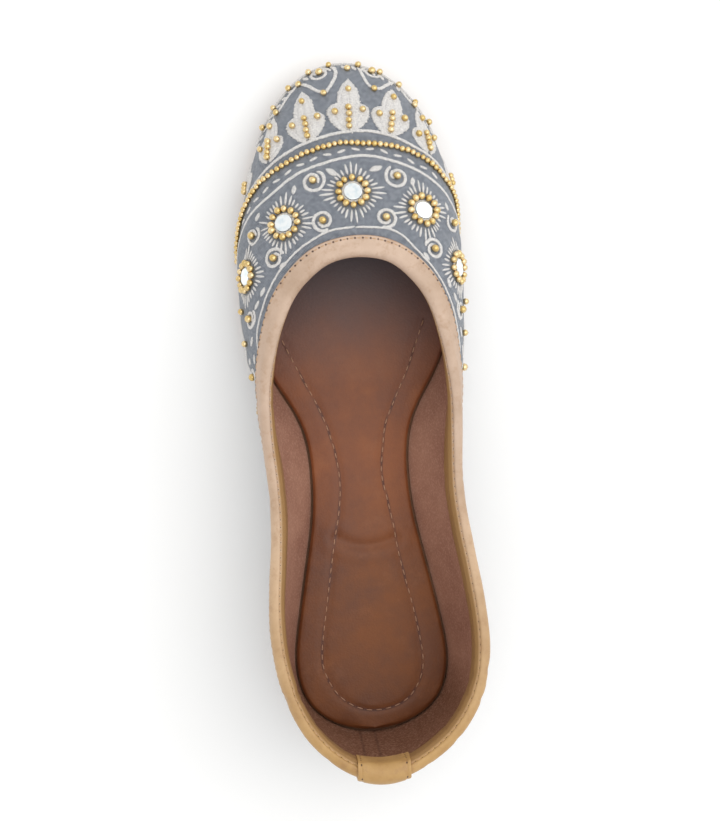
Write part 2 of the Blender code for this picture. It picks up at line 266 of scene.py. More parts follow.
leather_grain = make_leather_grain()
outsole = dress("outsole", "outsole_leather_layers", 40, 3)
sole_finish, tree, shader = new_finish("sole_leather", Roughness=0.6, Specular_IOR_Level=0.4)
where, grain = grained(tree, 0.0011)
facing = add(tree, "SeparateXYZ", {0: where.outputs["Normal"]})
under = ranged(tree, facing.outputs["Z"], -0.55, -0.85)
rim_tone = mixed(tree, grain.outputs["Mottle"], paint(112, 76, 50), paint(142, 100, 68))
tread_tone = mixed(tree, grain.outputs["Mottle"], paint(158, 118, 80), paint(186, 148, 106))
tree.links.new(mixed(tree, under, rim_tone, tread_tone), shader.inputs["Base Color"])
bumped(tree, shader, grain.outputs["Height"], 0.35, 0.0002)
coat(outsole, sole_finish)


# The insole
# A rust-brown leather sock, glued in, with a line of stitches that narrows to a waist and opens to the toe.
# The sock has a shallow crease across it behind the waist, and a groove pressed in under the stitches. Its
# toe, under the vamp, is painted dark grey as shade.
# Both lines are given in plan, in millimetres.
SOCK_LINE = (
    (-25.5, 27.0), (-20.5, 16.0), (-14.5, 4.0), (-10.5, -6.5), (-8.0, -17.5), (-7.5, -27.0), (-8.5, -36.0),
    (-10.5, -45.5), (-14.0, -66.0), (-16.8, -84.0), (-15.8, -92.0), (-11.0, -100.0), (-3.5, -104.5),
    (4.5, -104.8), (11.8, -102.2), (16.5, -96.5), (18.7, -88.0), (16.3, -71.0), (12.1, -51.5),
    (10.6, -40.5), (8.4, -28.5), (7.3, -22.0), (8.3, -13.5), (9.5, -5.5), (13.4, 3.5),
    (18.2, 13.5), (21.0, 20.5), (25.5, 32.0),
)
SOCK_CREASE = ((-9.5, -44.0), (-5.0, -46.4), (0.0, -47.3), (5.5, -46.9), (11.0, -45.2))
SOCK_PITCH = 0.0034
CURVE_STEPS = 24


def smooth_path(points, step, closed=False):
    """Evenly spaced points along a smooth curve through the given ones, all in metres."""
    points = [Vector(p) for p in points]
    if closed:
        knots = [points[-1], *points, points[0], points[1]]
    else:
        knots = [points[0] * 2 - points[1], *points, points[-1] * 2 - points[-2]]
    fine = []
    for a, b, c, d in zip(knots, knots[1:], knots[2:], knots[3:]):
        square = a * 2 - b * 5 + c * 4 - d
        cube = b * 3 - a - c * 3 + d
        for k in range(CURVE_STEPS):
            t = k / CURVE_STEPS
            fine.append(((b * 2) + (c - a) * t + square * t**2 + cube * t**3) / 2)
    fine.append(knots[-2].copy())
    gone = np.concatenate([[0.0], np.cumsum([(q - p).length for p, q in zip(fine, fine[1:])])])
    count = max(2, round(gone[-1] / step) + 1)
    along = np.linspace(0.0, gone[-1], count)
    columns = [np.interp(along, gone, [p[i] for p in fine]) for i in range(3)]
    return [Vector(p) for p in zip(*columns)][: -1 if closed else None]


def on_plan(points):
    """Plan places in millimetres as points in metres."""
    return [Vector((x / 1000, y / 1000, 0.0)) for x, y in points]


def distance_to(places, path):
    """Each place's distance from a path of points."""
    path = np.array(path)
    nearest = np.full(len(places), 1e9)
    for p, q in zip(path[:-1], path[1:]):
        along = q - p
        share = np.clip(((places - p) @ along) / (along @ along), 0, 1)
        gap = np.linalg.norm(places - p - share[:, None] * along, axis=1)
        nearest = np.minimum(nearest, gap)
    return nearest


def vertices_of(piece):
    """The places and normals of a piece's vertices, as arrays."""
    places = np.empty(len(piece.data.vertices) * 3)
    piece.data.vertices.foreach_get("co", places)
    normals = np.empty(len(piece.data.vertices) * 3)
    piece.data.vertices.foreach_get("normal", normals)
    return places.reshape(-1, 3), normals.reshape(-1, 3)


def move_vertices(piece, places):
    """Puts a piece's vertices at the given places."""
    piece.data.vertices.foreach_set("co", places.ravel())
    piece.data.update()


def tree_of(piece, keep=lambda polygon: True):
    """The faces of a piece that are kept, ready to be searched."""
    corners = [tuple(v.co) for v in piece.data.vertices]
    return BVHTree.FromPolygons(corners, [tuple(p.vertices) for p in piece.data.polygons if keep(p)])


def stitch_seed(name, rings):
    """One rice-grain stitch, a unit long, wide and high, for copying."""
    grain_shape = bmesh.new()
    bmesh.ops.create_uvsphere(grain_shape, u_segments=6, v_segments=rings, radius=0.5)
    bmesh.ops.rotate(grain_shape, verts=grain_shape.verts, matrix=Matrix.Rotation(math.radians(90), 3, "Y"))
    mesh = mesh_of(grain_shape, name)
    mesh.shade_smooth()
    return mesh


def scatter(name, seed_mesh, places, finish):
    """One joined mesh with a copy of the seed at each place, a matrix of turn, size and position."""
    spots = bpy.data.meshes.new(name)
    spots.from_pydata([tuple(p.translation) for p in places], [], [])
    turn = spots.attributes.new("turn", "FLOAT_VECTOR", "POINT")
    turn.data.foreach_set("vector", [c for p in places for c in p.to_euler()])
    girth = spots.attributes.new("girth", "FLOAT_VECTOR", "POINT")
    girth.data.foreach_set("vector", [c for p in places for c in p.to_scale()])
    seed = placed("seed", seed_mesh)
    piece = placed(name, spots)
    nodes = bpy.data.node_groups.new("scatter", "GeometryNodeTree")
    nodes.interface.new_socket("Geometry", in_out="INPUT", socket_type="NodeSocketGeometry")
    nodes.interface.new_socket("Geometry", in_out="OUTPUT", socket_type="NodeSocketGeometry")
    taken = nodes.nodes.new("NodeGroupInput")
    given = nodes.nodes.new("NodeGroupOutput")
    source = nodes.nodes.new("GeometryNodeObjectInfo")
    source.inputs["Object"].default_value = seed
    copies = nodes.nodes.new("GeometryNodeInstanceOnPoints")
    turned = nodes.nodes.new("FunctionNodeEulerToRotation")
    for attribute, target in (("turn", turned.inputs[0]), ("girth", copies.inputs["Scale"])):
        reader = nodes.nodes.new("GeometryNodeInputNamedAttribute")
        reader.data_type = "FLOAT_VECTOR"
        reader.inputs["Name"].default_value = attribute
        nodes.links.new(reader.outputs["Attribute"], target)
    joined = nodes.nodes.new("GeometryNodeRealizeInstances")
    nodes.links.new(taken.outputs[0], copies.inputs["Points"])
    nodes.links.new(source.outputs["Geometry"], copies.inputs["Instance"])
    nodes.links.new(turned.outputs[0], copies.inputs["Rotation"])
    nodes.links.new(copies.outputs[0], joined.inputs[0])
    nodes.links.new(joined.outputs[0], given.inputs[0])
    piece.modifiers.new("copies", "NODES").node_group = nodes
    seen = piece.evaluated_get(bpy.context.evaluated_depsgraph_get())
    piece.data = bpy.data.meshes.new_from_object(seen)
    piece.modifiers.clear()
    bpy.data.objects.remove(seed)
    for left in ("turn", "girth"):
        if left in piece.data.attributes:
            piece.data.attributes.remove(piece.data.attributes[left])
    piece.data.name = name
    coat(piece, finish)
    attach(piece, "root")


def stitch(start, end, normal, width, height):
    """Where one stitch lies: from start to end, on a face with that normal."""
    along = end - start
    length = along.length
    along.normalize()
    across = normal.cross(along).normalized()
    axes = Matrix((along * length, across * width, along.cross(across) * height)).transposed()
    return Matrix.Translation((start + end) / 2) @ axes.to_4x4()


insole = dress("insole", "insole_leather_sock", 40, 3)
places, normals = vertices_of(insole)
flat = places * (1, 1, 0)
sock_line = smooth_path(on_plan(SOCK_LINE), SOCK_PITCH)
sock_gap = distance_to(flat, sock_line)
crease_gap = distance_to(flat, smooth_path(on_plan(SOCK_CREASE), 0.002))
facing_up = np.clip(normals[:, 2] * 2 - 1, 0, 1)
sunk = 0.00035 * np.exp(-((sock_gap / 0.0011) ** 2)) + 0.0007 * np.exp(-((crease_gap / 0.0016) ** 2))
pushed = -0.0003 * np.exp(-(((crease_gap - 0.0042) / 0.0022) ** 2))
places[:, 2] -= (sunk + pushed) * facing_up
seam = insole.data.attributes.new("seam", "FLOAT", "POINT")
seam.data.foreach_set("value", sock_gap * 1000)
move_vertices(insole, places)

sock_finish, tree, shader = new_finish("sock_leather", Roughness=0.5, Specular_IOR_Level=0.45)
where, grain = grained(tree, 0.0008)
mottle = grain.outputs["Mottle"]
along = add(tree, "SeparateXYZ", {0: where.outputs["Object"]}).outputs["Y"]
heel_tone = mixed(tree, mottle, paint(101, 55, 27), paint(133, 79, 40))
waist_tone = mixed(tree, mottle, paint(118, 65, 35), paint(150, 90, 53))
tone = mixed(tree, ranged(tree, along, -0.06, -0.02), heel_tone, waist_tone)
scuff = noise(tree, where.outputs["Object"], 95.0, 6.0, 0.75)
tone = mixed(tree, ranged(tree, scuff, 0.54, 0.74, 0.0, 0.25), tone, paint(166, 110, 72))
# Towards the toe, where the vamp covers the sock, the colour is mixed to a dark grey: painted shade inside
# the closed toe.
tone = mixed(tree, ranged(tree, along, 0.008, 0.055, 0.0, 0.95), tone, paint(94, 87, 91))
gap = add(tree, "Attribute", attribute_name="seam", attribute_type="GEOMETRY").outputs["Fac"]
tone = mixed(tree, ranged(tree, gap, 0.7, 0.2), tone, paint(92, 52, 36))
tree.links.new(tone, shader.inputs["Base Color"])
tree.links.new(ranged(tree, mottle, 0.0, 1.0, 0.42, 0.6), shader.inputs["Roughness"])
bumped(tree, shader, grain.outputs["Height"], 0.3, 0.00015)
coat(insole, sock_finish)


def thread_finish(name, dark, light):
    """Matt thread whose fibres lie between two tones."""
    finish, tree, shader = new_finish(name, Roughness=0.7, Specular_IOR_Level=0.3)
    fibre = noise(tree, add(tree, "TexCoord").outputs["Object"], 2600.0, 2.0)
    tree.links.new(mixed(tree, fibre, dark, light), shader.inputs["Base Color"])
    bumped(tree, shader, fibre, 0.4, 0.0001)
    return finish


DOWN = Vector((0, 0, -1))
sock_tree = tree_of(insole)
sock_places = []
for near, far in zip(sock_line, sock_line[1:]):
    ends = []
    for share in (0.14, 0.8):
        ends.append(sock_tree.ray_cast(near.lerp(far, share) + Vector((0, 0, 0.05)), DOWN))
    if ends[0][0] is None or ends[1][0] is None:
        continue
    lift = Vector((0, 0, 0.00008))
    sock_places.append(stitch(ends[0][0] + lift, ends[1][0] + lift, ends[0][1], 0.00045, 0.0004))
sock_thread = thread_finish("sock_thread", paint(160, 118, 92), paint(198, 158, 130))
scatter("insole_stitches", stitch_seed("short_stitch", 4), sock_places, sock_thread)


# The upper
# One hollow shell of grey woven cloth over a mauve-brown lining, lasted over the sole and closed at the heel.
# It has soft puckers where it is pulled in at the sole, and shallow dents in its sides, as an empty shoe has.
# Each dent has three places along its trough, a width and a depth in millimetres, made 1.7 times as deep.
SOFT_DENTS = (
    ((-30.0, 66.0, 30.0), (-34.5, 58.0, 26.0), (-38.0, 52.0, 18.0), 3.2, 0.45),
    ((30.5, 62.0, 31.0), (35.0, 55.0, 26.0), (38.0, 50.0, 18.0), 3.0, 0.4),
    ((-33.0, 20.0, 36.0), (-36.5, 14.0, 26.0), (-35.0, 6.0, 14.0), 4.5, 0.6),
    ((33.0, 12.0, 36.0), (33.5, 4.0, 26.0), (31.0, -4.0, 14.0), 4.5, 0.55),
    ((-32.0, -38.0, 36.0), (-30.0, -46.0, 25.0), (-27.0, -52.0, 14.0), 5.0, 0.6),
    ((31.0, -52.0, 38.0), (31.0, -60.0, 26.0), (29.0, -66.0, 14.0), 5.0, 0.55),
    ((-24.0, -88.0, 44.0), (-27.0, -84.0, 30.0), (-27.0, -78.0, 16.0), 4.0, 0.5),
    ((24.0, -90.0, 46.0), (27.5, -88.0, 30.0), (28.0, -82.0, 16.0), 4.0, 0.5),
)
PUCKERS = 46
PUCKER_DEPTH = 0.00022
WEAVE_PITCH = 0.00046
HEEL_MIDDLE = -0.0023
STRIP_HALF = 0.0026
upper = dress("upper", "upper_cloth_and_lining", 50, 2)
coarse = tree_of(upper)
outside_marks = []
for polygon in upper.data.polygons:
    start = polygon.center + polygon.normal * 0.0002
    hit = coarse.ray_cast(start, polygon.normal)[0]
    away = polygon.normal.dot(Vector((polygon.center.x, polygon.center.y * 0.3, polygon.center.z * 0.4)))
    outside_marks.append(hit is None and away > -0.004)
outside_corner = np.zeros(len(upper.data.vertices))
for polygon, mark in zip(upper.data.polygons, outside_marks):
    if mark:
        outside_corner[list(polygon.vertices)] = 1.0
places, normals = vertices_of(upper)
push = np.zeros(len(places))
for *dent, width, depth in SOFT_DENTS:
    gap = distance_to(places, smooth_path([Vector(p) / 1000 for p in dent], 0.002))
    push -= 1.7 * depth / 1000 * np.exp(-((gap * 1000 / width) ** 2))
    push += 0.6 * depth / 1000 * np.exp(-(((gap * 1000 - 1.9 * width) / width) ** 2))
chance = random.Random(7)
turn_of = np.arctan2(places[:, 1] * 0.45, places[:, 0])
low = np.clip(1 - (places[:, 2] - 0.004) / 0.007, 0, 1)
for _ in range(PUCKERS):
    around = chance.uniform(-math.pi, math.pi)
    gap = np.abs((turn_of - around + math.pi) % (2 * math.pi) - math.pi)
    push -= PUCKER_DEPTH * chance.uniform(0.5, 1.2) * np.exp(-((gap / 0.02) ** 2)) * low
places += normals * (push * outside_corner)[:, None]
move_vertices(upper, places)


def make_plain_weave():
    """Plain weave on the side that a face looks to: Height, and Warp, which is one where the warp is up."""
    takes = {"Place": "Vector", "Facing": "Vector", "Pitch": "Float"}
    tree, taken, given = new_group("plain_weave", takes, ("Height", "Warp"))
    where, facing = taken.outputs["Place"], taken.outputs["Facing"]
    wander = add(tree, "TexNoise", {"Vector": where, "Scale": 160.0, "Detail": 1.0})
    moved = vectors(tree, "ADD", where, scaled(tree, wander.outputs["Color"], 0.0012))
    per_pitch = maths(tree, "DIVIDE", math.pi, taken.outputs["Pitch"])
    wave = vectors(tree, "SINE", scaled(tree, moved, per_pitch))
    parts = add(tree, "SeparateXYZ", {0: wave})
    order = {0: parts.outputs["Y"], 1: parts.outputs["Z"], 2: parts.outputs["X"]}
    turned = add(tree, "CombineXYZ", order)
    cells = vectors(tree, "MULTIPLY", wave, turned.outputs[0])
    square = vectors(tree, "MULTIPLY", facing, facing)
    faces = add(tree, "SeparateXYZ", {0: vectors(tree, "MULTIPLY", square, square)})
    order = {0: faces.outputs["Z"], 1: faces.outputs["X"], 2: faces.outputs["Y"]}
    weights = add(tree, "CombineXYZ", order).outputs[0]
    total = add(tree, "VectorMath", {0: weights, 1: (1.0, 1.0, 1.0)}, operation="DOT_PRODUCT")
    picked = add(tree, "VectorMath", {0: cells, 1: weights}, operation="DOT_PRODUCT")
    cell = maths(tree, "DIVIDE", picked.outputs["Value"], total.outputs["Value"])
    height = maths(tree, "POWER", maths(tree, "ABSOLUTE", cell), 0.5)
    tree.links.new(height, given.inputs["Height"])
    tree.links.new(ranged(tree, cell, -0.25, 0.25), given.inputs["Warp"])
    return tree


plain_weave = make_plain_weave()
cloth_finish, tree, shader = new_finish("grey_woven_cloth", Roughness=0.82, Specular_IOR_Level=0.25)
shader.inputs["Sheen Weight"].default_value = 0.25
shader.inputs["Sheen Roughness"].default_value = 0.5
where = add(tree, "TexCoord")
laying = {"Place": where.outputs["Object"], "Facing": where.outputs["Normal"], "Pitch": WEAVE_PITCH}
weave = add(tree, "Group", laying, node_tree=plain_weave)
speck = ranged(tree, noise(tree, where.outputs["Object"], 700.0, 3.0, 0.7), 0.35, 0.65)
warp_tone = mixed(tree, speck, paint(118, 124, 133), paint(149, 154, 161))
weft_tone = mixed(tree, speck, paint(100, 105, 114), paint(129, 133, 140))
tone = mixed(tree, weave.outputs["Warp"], weft_tone, warp_tone)
# Where the weave is low, in the gaps between the threads, the cloth is mixed to a dark blue-grey: painted
# shade between the threads.
tone = mixed(tree, ranged(tree, weave.outputs["Height"], 0.0, 0.6, 0.35, 0.0), tone, paint(62, 66, 76))
tree.links.new(tone, shader.inputs["Base Color"])
bumped(tree, shader, weave.outputs["Height"], 0.6, 0.00018)

lining_finish, tree, shader = new_finish("mauve_lining", Roughness=0.62, Specular_IOR_Level=0.35)
where, grain = grained(tree, 0.0007)
tone = mixed(tree, grain.outputs["Mottle"], paint(150, 106, 89), paint(179, 135, 114))
# A narrow strip covers the lining's join at the heel, with a dark line along each of its edges.
spot = add(tree, "SeparateXYZ", {0: where.outputs["Object"]})
at_back = ranged(tree, spot.outputs["Y"], -0.086, -0.1)
from_middle = maths(tree, "ABSOLUTE", maths(tree, "ADD", spot.outputs["X"], -HEEL_MIDDLE))
edge_gap = maths(tree, "ABSOLUTE", maths(tree, "SUBTRACT", from_middle, STRIP_HALF))
edge_line = ranged(tree, edge_gap, 0.0008, 0.0001, 0.0, 0.45)
strip_edge = maths(tree, "MULTIPLY", edge_line, at_back)
# Towards the back of the heel the whole lining is mixed to a darker brown: painted shade inside the heel.
tone = mixed(tree, at_back, tone, paint(122, 84, 62))
nap = noise(tree, where.outputs["Object"], 1300.0, 2.0)
tone = mixed(tree, ranged(tree, nap, 0.45, 0.7, 0.0, 0.45), tone, paint(206, 164, 142))
tree.links.new(mixed(tree, strip_edge, tone, paint(84, 56, 44)), shader.inputs["Base Color"])
level = maths(tree, "MULTIPLY_ADD", strip_edge, -2.0, grain.outputs["Height"])
bumped(tree, shader, level, 0.4, 0.00018)
coat(upper, cloth_finish, lining_finish)
for polygon, mark in zip(upper.data.polygons, outside_marks):
    polygon.material_index = 0 if mark else 1


# The collar binding
# A folded strip of tan leather sewn round the foot opening, pink-tan at the throat and golden at the heel.
# A row of awl holes runs inside its outer edge, and a sunk seam sets off its rolled top from its inner leg.
# Across the strip, its lines are measured round the fold from its top, in metres.
OPENING_MIDDLE = Vector((0.0, -0.031, 0.0))
FOLD_RADIUS = 0.0026
HOLE_LINE = 0.0076
INNER_LINE = 0.0013
OUTER_END = 0.0087
HOLE_PITCH = 0.00255
cloth_tree = tree_of(upper, lambda polygon: polygon.material_index == 0)
binding = dress("collar_binding", "collar_binding_leather", 40, 2)
binding_tree = tree_of(binding)


def crown_line(steps):
    """The top of the fold, all round the opening, found by looking down on the binding."""
    line = []
    for k in range(steps):
        turn = 2 * math.pi * k / steps
        outward = Vector((math.cos(turn), math.sin(turn), 0.0))
        seen = []
        for reach in np.arange(0.018, 0.102, 0.0004):
            above = OPENING_MIDDLE + outward * reach + Vector((0, 0, 0.2))
            hit = binding_tree.ray_cast(above, DOWN)[0]
            if hit is not None:
                seen.append(hit)
        top = max(p.z for p in seen)
        crown = [p for p in seen if p.z > top - 0.00015]
        line.append(sum(crown, Vector()) / len(crown))
    return line


def evened(rows, times):
    """Rows of a closed ring, each averaged with its neighbours a few times."""
    for _ in range(times):
        rows = (np.roll(rows, 1, axis=0) + rows * 2 + np.roll(rows, -1, axis=0)) / 4
    return rows


def unit(rows):
    """Rows made one unit long."""
    return rows / np.linalg.norm(rows, axis=1)[:, None]


places, normals = vertices_of(binding)
crown = np.array(smooth_path(evened(np.array(crown_line(240)), 3)[::3], 0.0011, closed=True))
tangents = unit(np.roll(crown, -1, axis=0) - np.roll(crown, 1, axis=0))
outwards = []
for p, tangent in zip(crown, tangents):
    sideways = Vector((tangent[1], -tangent[0], 0.0)).normalized()
    sideways *= math.copysign(1.0, sideways.dot(Vector(p) - OPENING_MIDDLE))
    outwards.append(cloth_tree.find_nearest(Vector(p) + sideways * 0.010 - Vector((0, 0, 0.005)))[1])
outwards = unit(evened(np.array(outwards), 30))
outwards = unit(outwards - tangents * (outwards * tangents).sum(1)[:, None])
walls = np.cross(tangents, outwards)
nearest = np.array([np.argmin(((crown - p) ** 2).sum(1)) for p in places])
tips = np.zeros(len(crown))
middles = np.zeros(len(crown))
for k in range(len(crown)):
    near = np.abs((nearest - k + len(crown) / 2) % len(crown) - len(crown) / 2) <= 3
    offsets = places[near] - crown[k]
    if (offsets @ walls[k]).mean() < 0:
        walls[k] *= -1
    deep = offsets @ walls[k]
    tips[k] = deep.min()
    reach = (offsets @ outwards[k])[deep < tips[k] + 0.0032]
    middles[k] = (reach.min() + reach.max()) / 2
ring_places = evened(crown + walls * tips[:, None] + outwards * middles[:, None], 12)
step_lengths = np.linalg.norm(np.roll(ring_places, -1, axis=0) - ring_places, axis=1)
ring_length = step_lengths.sum()
gone = np.concatenate([[0.0], np.cumsum(step_lengths)[:-1]])
tangents = unit(np.roll(ring_places, -1, axis=0) - np.roll(ring_places, 1, axis=0))
nearest = np.array([np.argmin(((ring_places - p) ** 2).sum(1)) for p in places])
offsets = places - ring_places[nearest]
along_ring = (gone[nearest] + (offsets * tangents[nearest]).sum(1)) % ring_length
sides = (offsets * outwards[nearest]).sum(1)
past_roll = (offsets * walls[nearest]).sum(1) - FOLD_RADIUS
bends = np.arctan2(sides, np.maximum(-past_roll, 0.0))
across_ring = FOLD_RADIUS * bends + np.sign(sides) * np.maximum(past_roll, 0.0)
outer_face = np.hypot(sides, np.minimum(past_roll, 0.0)) > 0.002


def on_binding(along, across):
    """A point and normal on the binding. Across runs round the fold from its top, positive outside."""
    k = int(np.argmin(np.abs((gone - along + ring_length / 2) % ring_length - ring_length / 2)))
    rest = (along - gone[k] + ring_length / 2) % ring_length - ring_length / 2
    bend = max(-math.pi / 2, min(math.pi / 2, across / FOLD_RADIUS))
    past = abs(across - bend * FOLD_RADIUS)
    away = Vector(outwards[k]) * math.sin(bend) - Vector(walls[k]) * math.cos(bend)
    core = Vector(ring_places[k]) + Vector(tangents[k]) * rest + Vector(walls[k]) * (FOLD_RADIUS + past)
    hit, normal, _, _ = binding_tree.ray_cast(core + away * 0.006, -away, 0.0055)
    return hit, normal


heel_at = gone[np.argmin(ring_places[:, 1])]
throat_at = gone[np.argmax(ring_places[:, 1])]
wrinkle = np.zeros(len(places))
chance = random.Random(11)
# Where wrinkles gather, how far they spread, how many there are and how deep they go, in metres.
wrinkled = (
    (heel_at, 0.05, 16, 0.00026),
    (throat_at - 0.075, 0.02, 4, 0.00016),
    (throat_at + 0.075, 0.02, 4, 0.00016),
)
for centre, reach, count, depth in wrinkled:
    for _ in range(count):
        at = centre + chance.uniform(-reach, reach)
        lean = chance.uniform(-0.35, 0.35)
        gap = along_ring - at - lean * across_ring
        gap -= np.round(gap / ring_length) * ring_length
        wrinkle -= depth * chance.uniform(0.5, 1.2) * np.exp(-((gap / chance.uniform(0.0007, 0.0015)) ** 2))
slow_wave = 0.00004 * np.sin(along_ring / ring_length * 2 * math.pi * 23)
channel = -0.0005 * np.exp(-(((across_ring + INNER_LINE) / 0.00045) ** 2))
slope_middle, slope_half = math.radians(-60), math.radians(30)
on_slope = np.clip(bends, slope_middle - slope_half, slope_middle + slope_half) - slope_middle
flatter = -FOLD_RADIUS * (1 - math.cos(slope_half) / np.cos(on_slope)) * (past_roll < 0)
places += normals * ((wrinkle + slow_wave + channel + flatter) * outer_face)[:, None]
move_vertices(binding, places)
binding_tree = tree_of(binding)

gone_round = np.append(gone, ring_length)
row_lengths = {}
for line in (HOLE_LINE, -INNER_LINE):
    spots = evened(np.array([on_binding(along, line)[0] for along in gone]), 4)
    steps = np.linalg.norm(np.roll(spots, -1, axis=0) - spots, axis=1)
    row_lengths[line] = np.concatenate([[0.0], np.cumsum(steps)])
rows_outside = across_ring > 0
sewn_along = np.interp(along_ring, gone_round, row_lengths[-INNER_LINE])
sewn_along[rows_outside] = np.interp(along_ring[rows_outside], gone_round, row_lengths[HOLE_LINE])
whole_rows = np.where(rows_outside, row_lengths[HOLE_LINE][-1], row_lengths[-INNER_LINE][-1])
flat_map = binding.data.uv_layers.new(name="strip")
for polygon in binding.data.polygons:
    spots = [along_ring[v] for v in polygon.vertices]
    wrapped = max(spots) - min(spots) > ring_length / 2
    for loop, corner in zip(polygon.loop_indices, polygon.vertices):
        u = sewn_along[corner]
        if wrapped and along_ring[corner] < ring_length / 2:
            u += whole_rows[corner]
        flat_map.data[loop].uv = (u * 100, across_ring[corner] * 100)


def make_awl_holes():
    """Holes along a strip's map in centimetres: Hole is one in a hole, Furrow one along the row."""
    takes = {"Strip": "Vector", "Pitch": "Float", "Line": "Float", "Width": "Float"}
    tree, taken, given = new_group("awl_holes", takes, ("Hole", "Furrow"))
    pitch, width = taken.outputs["Pitch"], taken.outputs["Width"]
    parts = add(tree, "SeparateXYZ", {0: taken.outputs["Strip"]})
    share = maths(tree, "FRACT", maths(tree, "DIVIDE", parts.outputs["X"], pitch))
    along = maths(tree, "MULTIPLY", maths(tree, "SUBTRACT", share, 0.5), pitch)
    across = maths(tree, "SUBTRACT", parts.outputs["Y"], taken.outputs["Line"])
    both = add(tree, "CombineXYZ", {0: along, 1: across}).outputs[0]
    away = add(tree, "VectorMath", {0: both}, operation="LENGTH").outputs["Value"]
    hole = ranged(tree, maths(tree, "DIVIDE", away, width), 1.0, 0.55)
    off = maths(tree, "DIVIDE", maths(tree, "ABSOLUTE", across), width)
    tree.links.new(hole, given.inputs["Hole"])
    tree.links.new(ranged(tree, off, 1.6, 0.2), given.inputs["Furrow"])
    return tree


awl_holes = make_awl_holes()


def tan_leather(name):
    """Tan leather, golden at the heel and pinkish at the toe. Gives its finish, its nodes and its colour."""
    finish, tree, shader = new_finish(name, Roughness=0.48, Specular_IOR_Level=0.45)
    where, grain = grained(tree, 0.0009)
    mottle = grain.outputs["Mottle"]
    spot = add(tree, "SeparateXYZ", {0: where.outputs["Object"]})
    golden = mixed(tree, mottle, paint(168, 129, 76), paint(200, 162, 106))
    pinkish = mixed(tree, mottle, paint(176, 149, 126), paint(207, 181, 160))
    tone = mixed(tree, ranged(tree, spot.outputs["Y"], -0.112, -0.01), golden, pinkish)
    tree.links.new(ranged(tree, mottle, 0.0, 1.0, 0.38, 0.56), shader.inputs["Roughness"])
    worn = ranged(tree, noise(tree, where.outputs["Object"], 240.0, 5.0, 0.7), 0.52, 0.72, 0.0, 0.45)
    return finish, tree, shader, grain, mixed(tree, worn, tone, paint(152, 112, 76))


def sewn_rows(tree, shader, grain, tone, rows):
    """Rows of awl holes in a leather. Each has a pitch, line and width in centimetres, and a furrow."""
    strip = add(tree, "UVMap", uv_map="strip")
    level = grain.outputs["Height"]
    for pitch, line, width, furrow in rows:
        placing = {"Strip": strip.outputs["UV"], "Pitch": pitch, "Line": line, "Width": width}
        row = add(tree, "Group", placing, node_tree=awl_holes)
        # Each hole is coloured dark brown: painted shade inside the hole, which is not cut in the mesh.
        tone = mixed(tree, row.outputs["Hole"], tone, paint(74, 48, 34))
        level = maths(tree, "MULTIPLY_ADD", row.outputs["Hole"], -2.0, level)
        level = maths(tree, "MULTIPLY_ADD", row.outputs["Furrow"], -furrow, level)
    tree.links.new(tone, shader.inputs["Base Color"])
    bumped(tree, shader, level, 0.5, 0.00016)


hole_counts = {line: round(lengths[-1] / HOLE_PITCH) for line, lengths in row_lengths.items()}
pitches = {line: lengths[-1] / hole_counts[line] for line, lengths in row_lengths.items()}
binding_finish, tree, shader, grain, tone = tan_leather("tan_binding_leather")
strip = add(tree, "UVMap", uv_map="strip")
across = add(tree, "SeparateXYZ", {0: strip.outputs["UV"]}).outputs["Y"]
edge = OUTER_END * 100
tone = mixed(tree, ranged(tree, across, -0.14, -0.2), tone, paint(160, 124, 80))
tone = mixed(tree, ranged(tree, across, edge - 0.025, edge), tone, paint(158, 118, 86))
sewn_rows(tree, shader, grain, tone, (
    (pitches[HOLE_LINE] * 100, HOLE_LINE * 100, 0.044, 0.5),
    (pitches[-INNER_LINE] * 100, -INNER_LINE * 100, 0.022, 1.2),
))
coat(binding, binding_finish)
binding_places = []
for line, width in ((HOLE_LINE, 0.0004), (-INNER_LINE, 0.0005)):
    for k in range(hole_counts[line]):
        gaps = [(k + 0.5 + share) * pitches[line] % row_lengths[line][-1] for share in (0.22, 0.78)]
        ends = [on_binding(np.interp(gap, row_lengths[line], gone_round), line) for gap in gaps]
        binding_places.append(stitch(ends[0][0], ends[1][0], ends[0][1], width, 0.0003))
binding_thread = thread_finish("binding_thread", paint(172, 134, 98), paint(204, 168, 130))
scatter("binding_stitches", stitch_seed("binding_stitch", 4), binding_places, binding_thread)


# The heel tab
# A short strap of the same golden leather, folded over the binding at the back and sewn down both its edges.
# It lies flat on the binding, a little puckered by its stitches. Its sides are made parallel, round TAB_AXIS.
TAB_ROW = 0.0074
TAB_PITCH = 0.0026
TAB_STITCHES = 7
TAB_FOOT = 0.0399
TAB_BEND = 0.026
TAB_AXIS = -0.0943
TAB_TOP = 0.053
tab = dress("heel_tab", "heel_tab_leather", 40, 4)
places, normals = vertices_of(tab)
leaned = places[:, 1] - 0.2 * np.maximum(TAB_TOP - places[:, 2], 0.0)
places[:, 0] = TAB_BEND * np.arctan2(places[:, 0], TAB_AXIS - leaned)
row_gap = (np.abs(places[:, 0]) - TAB_ROW) * 1000
puckers = 0.0001 * np.sin(places[:, 2] * 1000 * 2.4) * np.exp(-((row_gap / 1.6) ** 2))
puckers -= 0.00018 * np.exp(-((row_gap / 0.5) ** 2))
places += normals * puckers[:, None]
move_vertices(tab, places)
tab_map = tab.data.uv_layers.new(name="strip")
for loop in tab.data.loops:
    spot = tab.data.vertices[loop.vertex_index].co
    tab_map.data[loop.index].uv = (spot.z * 100, spot.x * 100)
tab_finish, tree, shader, grain, tone = tan_leather("tan_tab_leather")
sewn_rows(tree, shader, grain, tone, [(TAB_PITCH * 100, row * 100, 0.03, 0.6) for row in (-TAB_ROW, TAB_ROW)])
coat(tab, tab_finish)
tab_tree = tree_of(tab)
tab_places = []
